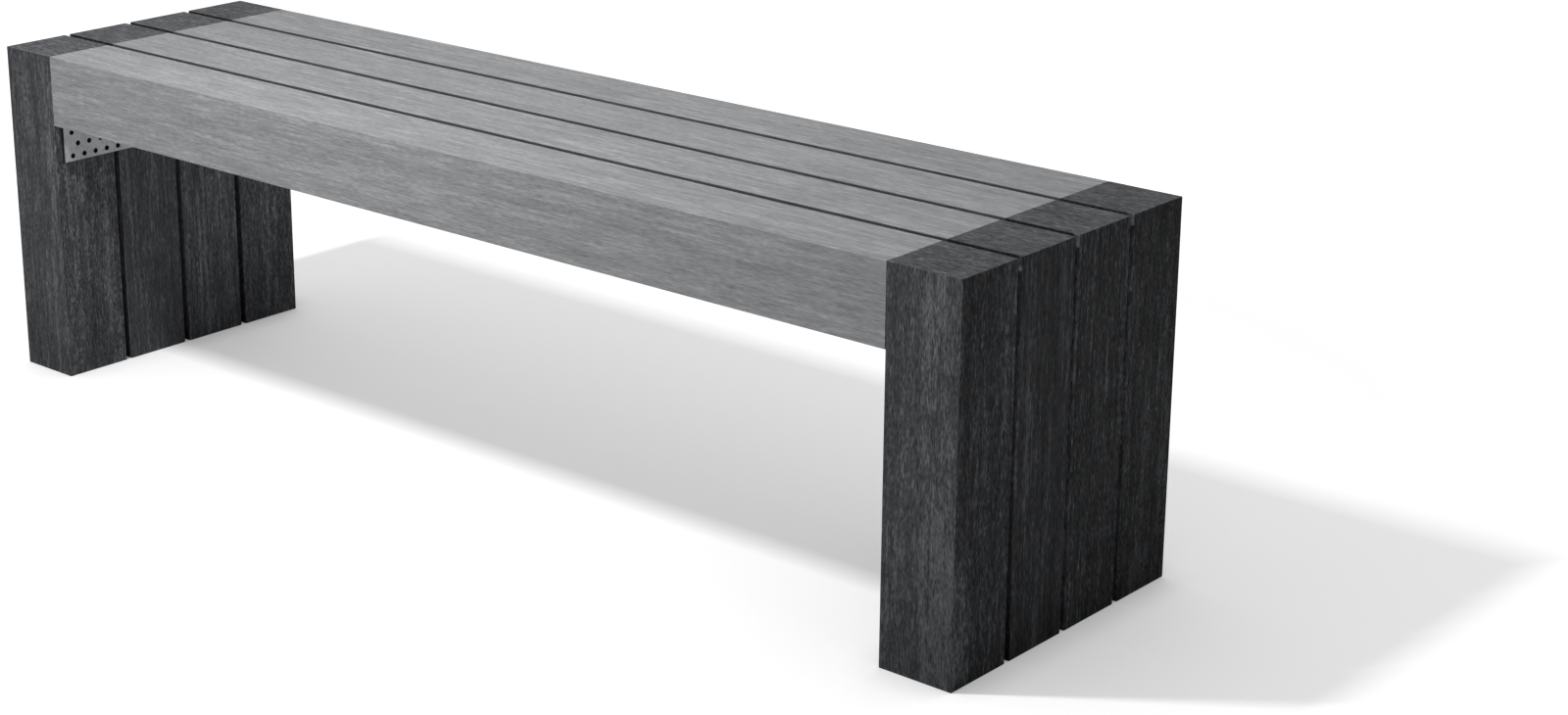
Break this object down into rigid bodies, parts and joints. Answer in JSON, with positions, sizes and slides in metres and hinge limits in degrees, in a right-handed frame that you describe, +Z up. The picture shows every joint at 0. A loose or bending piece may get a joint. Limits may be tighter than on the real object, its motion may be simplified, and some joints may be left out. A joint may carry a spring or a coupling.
{
  "type": "backless bench",
  "caption": "Backless street bench of square recycled-plastic beams on matching block legs, joined by perforated steel angles.",
  "frame": {"origin": "on the ground, at the middle of the bench's footprint", "axes": "+X along the seat towards the right leg, -Y towards the front, +Z up"},
  "size_m": [1.6716, 0.4258, 0.473],
  "materials": {
    "seat_plastic": "mid-grey recycled plastic, matt, with faint streaks along its length",
    "leg_plastic": "anthracite recycled plastic, matt, with fine pale streaks along its length",
    "galvanised_steel": "perforated sheet, hot-dip galvanised, dull",
    "screw_steel": "plain stainless steel, satin"
  },
  "bodies": {
    "root": {"seat_beam_1": "seat_plastic", "seat_beam_2": "seat_plastic", "seat_beam_3": "seat_plastic", "seat_beam_4": "seat_plastic", "left_post_1": "leg_plastic", "left_post_2": "leg_plastic", "left_post_3": "leg_plastic", "left_post_4": "leg_plastic", "right_post_1": "leg_plastic", "right_post_2": "leg_plastic", "right_post_3": "leg_plastic", "right_post_4": "leg_plastic", "left_angle": "galvanised_steel", "right_angle": "galvanised_steel", "left_post_screw_1a": "screw_steel", "left_post_screw_1b": "screw_steel", "left_post_screw_2a": "screw_steel", "left_post_screw_2b": "screw_steel", "left_post_screw_3a": "screw_steel", "left_post_screw_3b": "screw_steel", "left_post_screw_4a": "screw_steel", "left_post_screw_4b": "screw_steel", "left_seat_screw_1a": "screw_steel", "left_seat_screw_1b": "screw_steel", "left_seat_screw_2a": "screw_steel", "left_seat_screw_2b": "screw_steel", "left_seat_screw_3a": "screw_steel", "left_seat_screw_3b": "screw_steel", "left_seat_screw_4a": "screw_steel", "left_seat_screw_4b": "screw_steel", "right_post_screw_1a": "screw_steel", "right_post_screw_1b": "screw_steel", "right_post_screw_2a": "screw_steel", "right_post_screw_2b": "screw_steel", "right_post_screw_3a": "screw_steel", "right_post_screw_3b": "screw_steel", "right_post_screw_4a": "screw_steel", "right_post_screw_4b": "screw_steel", "right_seat_screw_1a": "screw_steel", "right_seat_screw_1b": "screw_steel", "right_seat_screw_2a": "screw_steel", "right_seat_screw_2b": "screw_steel", "right_seat_screw_3a": "screw_steel", "right_seat_screw_3b": "screw_steel", "right_seat_screw_4a": "screw_steel", "right_seat_screw_4b": "screw_steel"}
  },
  "joints": []
}
